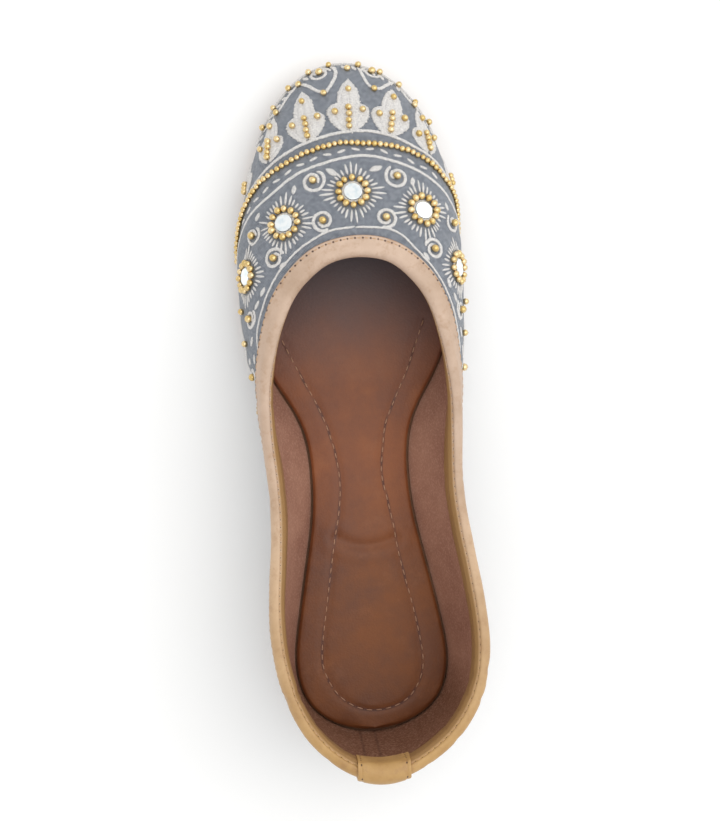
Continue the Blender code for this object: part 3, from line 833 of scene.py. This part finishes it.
for k in range(TAB_STITCHES):
    for aside in (-TAB_ROW, TAB_ROW):
        level = TAB_FOOT + TAB_PITCH * k
        starts = [Vector((aside, -0.2, level + rise)) for rise in (0.0004, 0.0022)]
        ends = [tab_tree.ray_cast(start, Vector((0, 1, 0))) for start in starts]
        if ends[0][0] is not None and ends[1][0] is not None:
            tab_places.append(stitch(ends[0][0], ends[1][0], ends[0][1], 0.00042, 0.0003))
scatter("tab_stitches", stitch_seed("tab_stitch", 4), tab_places, binding_thread)


# The thread work
# White cotton thread, sewn by hand through the cloth: stem-stitched lines, tendrils and vines, satin-stitched
# petals and leaves, rays round each mirror and a border round the toe's edge. Each stitch is a grain on the
# cloth. Places are in millimetres. The walls' pattern, which the photograph hides, is the same on both sides.
RAYS = 31
RAY_START = 6.5
THREAD_RING = 3.7


def on_cloth(near):
    """The nearest point of the cloth's outside, and its normal."""
    at, normal, _, _ = cloth_tree.find_nearest(near)
    return at, normal


def patch(spot, toward):
    """A flat frame on the cloth at a place, with its second direction towards another place."""
    at, normal = on_cloth(Vector(spot) / 1000)
    ahead = Vector(toward) / 1000 - at
    ahead = (ahead - normal * ahead.dot(normal)).normalized()
    return at, ahead.cross(normal), ahead, normal


def upright(spot):
    """A patch whose second direction runs to the toe."""
    return patch(spot, (spot[0], spot[1] + 20, spot[2]))


def laid(patch_frame, across, ahead, lift=0.0):
    """A point of the patch, in millimetres from its middle, brought onto the cloth, with the normal there."""
    at, right, forward, normal = patch_frame
    spot, up = on_cloth(at + (right * across + forward * ahead) / 1000 + normal * 0.0015)
    return spot + up * lift, up


chance = random.Random(3)


def sewn(places, start, end, width, height):
    """Adds one stitch between two points of the cloth."""
    (a, up), (b, _) = start, end
    places.append(stitch(a + up * height * 0.2, b + up * height * 0.2, up, width, height))


def stem_line(places, points, width, pitch=1.15):
    """A rope-like line of slanting stitches through places in millimetres."""
    path = smooth_path([Vector(p) / 1000 for p in points], pitch / 1000)
    spots = [on_cloth(p) for p in path]
    for (a, up), (b, _) in zip(spots, spots[2:]):
        aside = up.cross(b - a).normalized()
        slant = aside * width * 0.00026
        stray = aside * chance.uniform(-0.00009, 0.00009)
        girth = width * chance.uniform(0.00078, 0.00096)
        sewn(places, (a - slant + stray, up), (b + slant + stray, up), girth, 0.00058)


# A mirror flower has its middle and its share of the full size. A tendril has its heart, its reach, and in
# degrees its start and its sweep, which is made 1.4 times as large. A leaf has its middle, a place that it
# points to and its length. A petal has its foot, its tip and its share of the full size.
LINE_AHEAD = (
    (-38.5, 63.0, 6.5), (-37.5, 69.5, 13.0), (-34.8, 76.0, 18.5), (-31.4, 81.1, 22.9), (-24.6, 87.2, 26.6),
    (-15.7, 91.9, 28.6), (-5.6, 94.9, 29.4), (5.4, 95.9, 29.1), (15.2, 94.0, 28.4), (24.3, 89.4, 26.9),
    (29.3, 86.4, 24.9), (33.6, 81.8, 21.4), (36.0, 75.0, 14.5), (37.8, 68.0, 6.5),
)
LINE_BEHIND = (
    (-39.0, 49.0, 6.5), (-38.4, 56.0, 13.0), (-36.8, 63.0, 19.5), (-34.5, 68.8, 24.5), (-27.6, 74.6, 29.5),
    (-17.3, 81.7, 31.7), (-6.2, 85.3, 32.7), (4.8, 86.9, 32.3), (14.5, 84.9, 31.8), (24.1, 81.0, 30.2),
    (32.7, 74.3, 26.2), (35.7, 67.8, 22.0), (37.4, 60.5, 14.0), (38.2, 53.5, 6.5),
)
BORDER_LEFT = [
    (0.7, 61.6, 40.4), (-7.8, 60.7, 40.1), (-15.2, 57.1, 39.9), (-20.8, 53.0, 39.2), (-26.3, 46.3, 38.0),
    (-31.0, 37.0, 36.6),
]
BORDER_RIGHT = [
    (0.7, 61.6, 40.4), (10.7, 60.8, 40.0), (16.0, 58.5, 39.7), (21.3, 52.7, 39.6), (26.6, 45.5, 38.0),
    (30.8, 36.5, 36.6),
]
BORDER_BACK = (
    (33.8, 27.0, 35.4), (34.7, 14.0, 34.2), (34.1, 0.0, 33.4), (32.7, -18.0, 33.0), (31.0, -40.0, 33.4),
    (30.1, -62.0, 35.4), (28.3, -84.0, 39.4), (22.8, -104.0, 43.6), (15.5, -114.0, 46.6), (9.6, -118.2, 47.6),
)
SOLE_LINE = (
    (40.5, 49.0, 8.6), (40.0, 35.0, 8.4), (38.2, 18.0, 8.8), (35.0, 2.0, 9.6), (31.8, -16.0, 10.8),
    (30.0, -34.0, 11.6), (30.0, -54.0, 12.0), (31.0, -74.0, 12.0), (30.0, -92.0, 12.0),
    (22.3, -108.0, 12.0), (10.0, -117.5, 12.0), (0.0, -120.5, 12.0),
)
MIRROR_FLOWERS = (
    ((0.8, 74.0, 36.6), 1.0), ((-23.0, 64.5, 35.2), 1.0), ((24.6, 66.8, 34.6), 1.0),
    ((-36.5, 47.7, 27.5), 0.95), ((34.8, 47.3, 29.5), 0.95),
    ((-35.6, -2.0, 20.0), 0.85), ((33.8, -4.0, 20.0), 0.85),
    ((-30.5, -60.0, 22.0), 0.85), ((30.5, -62.0, 22.0), 0.85),
)
TENDRILS = [
    ((-12.4, 78.6, 33.9), 3.7, 70, -330), ((16.2, 78.9, 33.4), 3.7, 110, 330),
    ((-9.9, 64.3, 38.8), 3.4, -60, -340), ((11.4, 64.4, 38.8), 3.3, -120, 340),
    ((-26.9, 52.6, 36.5), 3.3, 20, 330), ((27.1, 53.2, 36.7), 3.3, 160, -330),
    ((-34.2, 61.7, 27.7), 3.0, 60, -300), ((34.4, 62.7, 27.0), 3.0, 120, 300),
    ((-7.6, 118.6, 16.9), 3.6, 20, 320), ((10.6, 118.4, 15.6), 3.5, 160, -320),
]
WALL_TENDRILS = (
    (35.1, 32.8, 30.8), (35.6, 13.5, 24.0), (33.2, -21.0, 24.0), (31.1, -43.5, 22.0), (29.8, -79.0, 26.0),
)
LEAVES = [
    ((-5.9, 81.4, 34.0), (-12.0, 84.5, 33.0), 4.2), ((9.2, 82.0, 33.6), (15.0, 84.5, 32.5), 4.2),
    ((-19.0, 76.0, 33.1), (-19.0, 80.0, 32.0), 2.6), ((21.6, 77.1, 32.5), (21.0, 81.0, 31.0), 2.6),
    ((-32.0, 68.0, 28.0), (-30.5, 72.0, 28.0), 2.4), ((33.2, 68.6, 28.0), (31.5, 72.0, 28.0), 2.4),
    ((-24.0, 50.0, 38.6), (-20.5, 53.5, 39.4), 2.6), ((24.0, 50.5, 38.4), (21.0, 54.0, 39.4), 2.6),
    ((-31.0, 41.5, 35.6), (-28.5, 46.0, 36.0), 3.0), ((31.0, 41.5, 35.4), (28.5, 46.0, 36.0), 3.0),
]
WALL_LEAVES = (
    ((36.6, 22.0, 22.0), (36.6, 26.0, 26.0)), ((34.2, -13.0, 28.0), (34.0, -17.0, 30.0)),
    ((32.3, -32.0, 19.0), (31.5, -36.0, 21.0)), ((30.7, -70.5, 29.0), (30.2, -74.5, 32.0)),
    ((27.2, -91.0, 30.0), (25.2, -96.0, 32.0)), ((20.7, -104.5, 33.0), (17.3, -108.5, 35.0)),
)
PETALS = (
    ((0.8, 95.7, 29.4), (2.0, 114.4, 21.0), 1.0), ((-13.2, 93.1, 28.8), (-14.8, 111.5, 20.0), 0.96),
    ((14.8, 94.1, 28.4), (18.4, 112.0, 18.0), 0.96), ((-27.2, 87.2, 24.7), (-25.4, 101.6, 18.0), 0.84),
    ((28.6, 88.0, 24.6), (26.6, 102.0, 17.5), 0.84), ((-35.0, 77.0, 17.0), (-34.0, 90.0, 9.0), 0.66),
    ((35.6, 77.0, 16.5), (34.4, 90.0, 9.0), 0.66),
)
HALF_PETAL = (
    (1.3, -0.6), (3.9, 1.2), (6.4, 3.9), (7.8, 7.0), (7.6, 9.4), (6.2, 10.8), (4.5, 11.6), (4.2, 14.0),
    (3.7, 16.9), (2.5, 19.4), (1.1, 21.4), (0.0, 22.8),
)
TOE_ARMS = (
    ((-3.8, 121.4, 13.8), (-1.9, 118.8, 17.7), (-3.4, 114.4, 20.7), (-6.2, 110.9, 22.6)),
    ((-6.8, 110.8, 22.4), (-8.8, 111.5, 21.6), (-11.7, 113.8, 19.1), (-14.6, 115.4, 16.4)),
    ((6.1, 120.6, 14.9), (7.4, 117.1, 18.5), (8.8, 113.6, 20.6), (10.6, 111.8, 21.2)),
    ((10.8, 111.8, 21.2), (13.1, 111.7, 20.4), (16.2, 113.8, 17.3), (18.8, 115.2, 13.5)),
    ((-15.2, 115.2, 15.6), (-18.2, 111.5, 16.0), (-20.8, 107.6, 16.8), (-22.7, 105.4, 17.4)),
    ((-23.2, 105.2, 17.0), (-26.0, 104.4, 13.5), (-28.4, 103.8, 9.0)),
    ((19.2, 114.4, 13.5), (21.6, 110.4, 15.0), (23.6, 106.0, 16.0)),
    ((24.0, 105.6, 15.6), (26.6, 104.6, 12.5), (28.8, 103.6, 9.0)),
)
for side, border in ((-1, BORDER_LEFT), (1, BORDER_RIGHT)):
    border += [(side * x, y, z) for x, y, z in BORDER_BACK]
    TENDRILS += [((side * x, y, z), 3.1, 90 + side * 30, side * 330) for x, y, z in WALL_TENDRILS]
    LEAVES += [((side * spot[0], *spot[1:]), (side * tip[0], *tip[1:]), 3.5) for spot, tip in WALL_LEAVES]

thread_places = []
stem_line(thread_places, LINE_AHEAD, 1.4)
stem_line(thread_places, LINE_BEHIND, 1.25)
for side, border in ((-1, BORDER_LEFT), (1, BORDER_RIGHT)):
    stem_line(thread_places, border, 0.95)
    stem_line(thread_places, [(side * x, y, z) for x, y, z in SOLE_LINE], 0.85)
for arm in TOE_ARMS:
    stem_line(thread_places, arm, 1.45)
for spot, reach, start, sweep in TENDRILS:
    curl_frame = upright(spot)
    points = []
    for k in range(25):
        share = k / 24
        turn = math.radians(start + 1.4 * sweep * share)
        radius = reach * (1.1 - 0.66 * share**1.7)
        point, _ = laid(curl_frame, radius * math.cos(turn), radius * math.sin(turn))
        points.append(tuple(point * 1000))
    stem_line(thread_places, points, 1.35, pitch=0.95)


def on_wall(side, along, height):
    """A place on a side wall's cloth. Side is one for the right and minus one for the left."""
    return cloth_tree.ray_cast(Vector((side * 80, along, height)) / 1000, Vector((-side, 0, 0)))[0] * 1000


# A vine has its first and last places along the wall, a place where it is low, and its wave's length.
VINE_MIDDLE = 20
VINE_SWING = 5
VINES = ((37.0, 8.0, 14.0, 18.6), (-12.0, -52.0, -20.0, 23.0), (-70.0, -108.0, -78.0, 23.0))
for side in (-1, 1):
    for first, last, low_at, period in VINES:
        vine = []
        for y in np.linspace(first, last, 24):
            height = VINE_MIDDLE - VINE_SWING * math.cos(2 * math.pi * (y - low_at) / period)
            vine.append(on_wall(side, y, height))
        stem_line(thread_places, vine, 1.0)

ray_places = []
for spot, share in MIRROR_FLOWERS:
    flower = upright(spot)
    radius = THREAD_RING * share
    turns = np.arange(0, 6.5, 0.3)
    ring = [laid(flower, radius * math.cos(t), radius * math.sin(t))[0] * 1000 for t in turns]
    stem_line(thread_places, ring, 0.9)
    for k in range(RAYS):
        turn = 2 * math.pi * (k + chance.uniform(-0.12, 0.12)) / RAYS + math.pi / 2
        reach = 9.0 + 2.9 * abs(math.cos(2 * (turn - math.pi / 2))) ** 5 + chance.uniform(-0.4, 0.4)
        lengths = (RAY_START * share, reach * share)
        ends = [laid(flower, r * math.cos(turn), r * math.sin(turn)) for r in lengths]
        sewn(ray_places, ends[0], ends[1], chance.uniform(0.00078, 0.00098), 0.0006)


def leaf(places, spot, toward, length, width):
    """Slanting satin stitches across a small pointed leaf, from its stem to its tip."""
    leaf_frame = patch(spot, toward)
    rows = max(4, round(length / 0.5))
    for k in range(rows):
        share = (k + 0.5) / rows
        half_width = width / 2 * math.sin(math.pi * share) ** 0.7 + 0.12
        middle = (share - 0.5) * length
        ends = [laid(leaf_frame, half_width * way, middle + 0.55 * way) for way in (-1, 1)]
        sewn(places, ends[0], ends[1], 0.00075, 0.0006)


TOE_CENTRE = Vector((0.001, 0.080, 0.0))


def on_toe(turn, above):
    """A point and normal on the cloth round the toe, from a turn in degrees and a height above the border."""
    out = Vector((math.sin(math.radians(turn)), math.cos(math.radians(turn)), 0.0))
    height = Vector((0, 0, 9.5 + 3 * out.y + above)) / 1000
    return cloth_tree.ray_cast(TOE_CENTRE + out * 0.08 + height, -out)[:2]


satin_places = []
for k in range(-80, 81):
    ends = [on_toe(k * 0.8 - 0.8, -1.2 + chance.uniform(-0.2, 0.2)), on_toe(k * 0.8 + 0.8, 1.4)]
    sewn(satin_places, ends[0], ends[1], 0.0009, 0.0015)
for k in range(-13, 14):
    (low_end, _), (high_end, _) = on_toe(k * 5, 3.2), on_toe(k * 5 + 1.5, 4.4)
    leaf(satin_places, low_end * 1000, high_end * 1000, 2.8, 1.7)
for spot, toward, length in LEAVES:
    leaf(satin_places, spot, toward, length, 2.3 if length > 3.9 else 1.9)
lines = [smooth_path(line[2:-2], 5.0) for line in (LINE_AHEAD, LINE_BEHIND)]
between = [(a + b) / 2 for a, b in zip(*lines)]
for k, (spot, after) in enumerate(zip(between, between[1:])):
    low_side = spot + Vector((0, -2.1, 0.6))
    ahead = (after - spot).normalized()
    leaf(satin_places, low_side, low_side + ahead * 5 + Vector((0, 1.6 if k % 2 else -1.0, 0)), 2.4, 0.8)

for border in (BORDER_LEFT, BORDER_RIGHT):
    row = smooth_path(border[5:], 6.0)
    for spot, after in zip(row, row[1:]):
        low_side = spot - Vector((0, 0, 4.2))
        leaf(satin_places, low_side, low_side + (after - spot) - Vector((0, 0, 2.5)), 3.2, 1.5)
for side in (-1, 1):
    for first, last, low_at, period in VINES:
        for k in range(-3, 4):
            y = low_at + period * (k / 2 + 0.25)
            if last < y < first:
                spot = on_wall(side, y, 15.5 if k % 2 else 25.5)
                leaf(satin_places, spot, on_wall(side, y - 4, 20), 3.2, 1.6)

half = smooth_path([(u, v, 0.0) for u, v in HALF_PETAL], 0.5)
petal_edge = half + [Vector((-p.x, p.y, 0.0)) for p in reversed(half[:-1])]
for base, tip, share in PETALS:
    petal_frame = patch(base, tip)
    for low, high in ((0.4, 5.5), (4.5, 10.5), (9.5, 16.5)):
        for aside in (-0.55, 0.0, 0.55):
            ends = [laid(petal_frame, aside * share, v * share, 0.0001) for v in (low, high + aside)]
            sewn(satin_places, ends[0], ends[1], 0.0009, 0.0007)
    for edge in petal_edge:
        root = Vector((edge.x * 0.06, min(16.5, max(1.8, 2.6 + edge.y * 0.66)), 0.0))
        tipped = edge + (edge - root).normalized() * chance.uniform(-0.25, 0.35)
        split = chance.uniform(0.42, 0.55)
        inner = (root, root.lerp(tipped, split + 0.12), 0.85, 0.0002)
        outer = (root.lerp(tipped, split - 0.05), tipped, 0.74, 0.0)
        for start, end, girth, lift in (inner, outer):
            ends = [laid(petal_frame, p.x * share, p.y * share, lift) for p in (start, end)]
            sewn(satin_places, ends[0], ends[1], girth / 1000, 0.0007)

white_thread, tree, shader = new_finish("white_thread", Roughness=0.6, Specular_IOR_Level=0.35)
shader.inputs["Sheen Weight"].default_value = 0.3
fibre = noise(tree, add(tree, "TexCoord").outputs["Object"], 1900.0, 3.0, 0.7)
tone = mixed(tree, ranged(tree, fibre, 0.3, 0.7), paint(180, 178, 178), paint(233, 230, 225))
tree.links.new(tone, shader.inputs["Base Color"])
bumped(tree, shader, fibre, 0.5, 0.00012)
long_stitch = stitch_seed("long_stitch", 5)
scatter("thread_lines", long_stitch, thread_places, white_thread)
scatter("thread_rays", long_stitch, ray_places, white_thread)
scatter("thread_petals_and_leaves", long_stitch, satin_places, white_thread)


# The beads
# Small gold-coloured beads, each sewn down by its own thread: a row along the toe band, a ring round every
# mirror, seven on each large petal and three on a small one, one in the heart of each tendril, a row round
# the toe's edge, and a few alone.
BEAD_ROW = (
    (-39.0, 55.0, 6.5), (-38.2, 62.0, 12.0), (-36.6, 68.6, 17.0), (-34.6, 74.0, 21.3), (-30.9, 79.1, 24.6),
    (-25.2, 83.2, 27.9), (-15.9, 87.9, 29.9), (-7.7, 90.5, 30.7), (-0.4, 91.6, 30.9), (5.1, 91.0, 30.9),
    (13.6, 90.1, 30.1), (21.0, 88.1, 28.9), (29.6, 83.1, 26.0), (32.9, 79.0, 23.6), (35.2, 73.0, 18.0),
    (37.0, 66.5, 12.0), (38.0, 60.0, 6.5),
)
PETAL_BEADS = ((0.0, 17.2), (-4.8, 7.6), (5.0, 8.8), (0.0, 9.4), (0.2, 6.8), (0.1, 4.2), (0.2, 1.8))
LONE_BEADS = (
    (2.1, 119.5, 17.1), (-6.7, 110.2, 22.6), (10.7, 111.2, 21.2), (-22.9, 104.9, 17.4), (-15.0, 114.9, 16.6),
    (24.0, 105.4, 16.0), (-38.4, 36.0, 24.0), (36.6, 36.0, 24.0), (-37.6, 24.8, 27.0), (35.4, 25.0, 27.5),
)
BEAD_PITCH = 0.00196
MIRROR_BEADS = 12
BEAD_RING = 5.05
bead_shape = bmesh.new()
bmesh.ops.create_uvsphere(bead_shape, u_segments=9, v_segments=6, radius=0.5)
bead_mesh = mesh_of(bead_shape, "bead")
bead_mesh.shade_smooth()
bead_places = []


def bead(spot, up, size, along=None):
    """One bead resting on the cloth, with its hole along the row it is sewn in."""
    along = along or up.orthogonal()
    along = (along - up * along.dot(up)).normalized()
    across = up.cross(along)
    axes = Matrix((across * size, up * size * 0.94, along * size * 0.88)).transposed()
    bead_places.append(Matrix.Translation(spot + up * size * 0.33) @ axes.to_4x4())


row = [on_cloth(p) for p in smooth_path([Vector(p) / 1000 for p in BEAD_ROW], BEAD_PITCH)]
for k, (spot, up) in enumerate(row):
    ahead = row[min(k + 1, len(row) - 1)][0] - row[max(k - 1, 0)][0]
    aside = up.cross(ahead).normalized() * chance.uniform(-0.00018, 0.00018)
    bead(spot + aside, up, chance.uniform(0.00212, 0.00245), ahead)
for spot, share in MIRROR_FLOWERS:
    flower = upright(spot)
    for k in range(MIRROR_BEADS):
        turn = 2 * math.pi * (k + chance.uniform(-0.08, 0.08)) / MIRROR_BEADS
        radius = share * (BEAD_RING + chance.uniform(-0.12, 0.12))
        at, up = laid(flower, radius * math.cos(turn), radius * math.sin(turn))
        ahead = -flower[1] * math.sin(turn) + flower[2] * math.cos(turn)
        bead(at, up, share * chance.uniform(0.0025, 0.0029), ahead)
for base, tip, share in PETALS:
    petal_frame = patch(base, tip)
    for u, v in PETAL_BEADS if share > 0.7 else PETAL_BEADS[4:]:
        at, up = laid(petal_frame, u * share, v * share, 0.0003)
        bead(at, up, chance.uniform(0.0023, 0.0026))
for k in range(-5, 5):
    at, up = on_toe(k * 12 + 6 + chance.uniform(-1, 1), 1.9)
    bead(at + up * 0.0003, up, chance.uniform(0.0022, 0.0026))
for spot, *_ in TENDRILS:
    at, up = on_cloth(Vector(spot) / 1000)
    bead(at, up, 0.0029)
for spot in LONE_BEADS:
    at, up = on_cloth(Vector(spot) / 1000)
    bead(at, up, 0.0025)

gold_finish, tree, shader = new_finish("gold_beads", Metallic=1.0, Roughness=0.24)
lots = noise(tree, add(tree, "TexCoord").outputs["Object"], 330.0, 1.0)
tone = mixed(tree, ranged(tree, lots, 0.35, 0.65), paint(214, 184, 120), paint(238, 214, 168))
tree.links.new(tone, shader.inputs["Base Color"])
tree.links.new(ranged(tree, lots, 0.0, 1.0, 0.3, 0.12), shader.inputs["Roughness"])
scatter("gold_beads", bead_mesh, bead_places, gold_finish)


# The mirrors
# Small round pieces of silvered glass, held to the cloth by the bead ring and the rays round them.
# Each is a thin disc with a ground edge, lying flat on the cloth.
MIRROR_WIDTH = 0.0061
MIRROR_THICKNESS = 0.0009
CLOTH_RING = 2.8
disc_shape = bmesh.new()
bmesh.ops.create_cone(disc_shape, cap_ends=True, segments=24, radius1=0.5, radius2=0.5, depth=1.0)
top_rim = [e for e in disc_shape.edges if all(v.co.z > 0.4 for v in e.verts)]
bmesh.ops.bevel(disc_shape, geom=top_rim, offset=0.05, affect="EDGES", segments=2, profile=0.5, material=-1)
disc_mesh = mesh_of(disc_shape, "mirror")
mirror_places = []
for spot, share in MIRROR_FLOWERS:
    flower = upright(spot)
    at, right, forward, up = flower
    radius = CLOTH_RING * share
    turns = np.arange(0, 6.2, 0.4)
    around = [laid(flower, radius * math.cos(t), radius * math.sin(t))[0] for t in turns]
    level = max(0.0, *((p - at).dot(up) for p in around))
    width = MIRROR_WIDTH * share
    axes = Matrix((right * width, forward * width, up * MIRROR_THICKNESS)).transposed()
    mirror_places.append(Matrix.Translation(at + up * (level + 0.0003)) @ axes.to_4x4())
mirror_finish, tree, shader = new_finish("silvered_glass", Metallic=1.0, Roughness=0.06)
bloom = noise(tree, add(tree, "TexCoord").outputs["Object"], 420.0, 4.0)
tone = mixed(tree, ranged(tree, bloom, 0.45, 0.75), paint(250, 254, 254), paint(222, 236, 242))
tree.links.new(tone, shader.inputs["Base Color"])
tree.links.new(ranged(tree, bloom, 0.0, 1.0, 0.04, 0.16), shader.inputs["Roughness"])
scatter("mirror_discs", disc_mesh, mirror_places, mirror_finish)
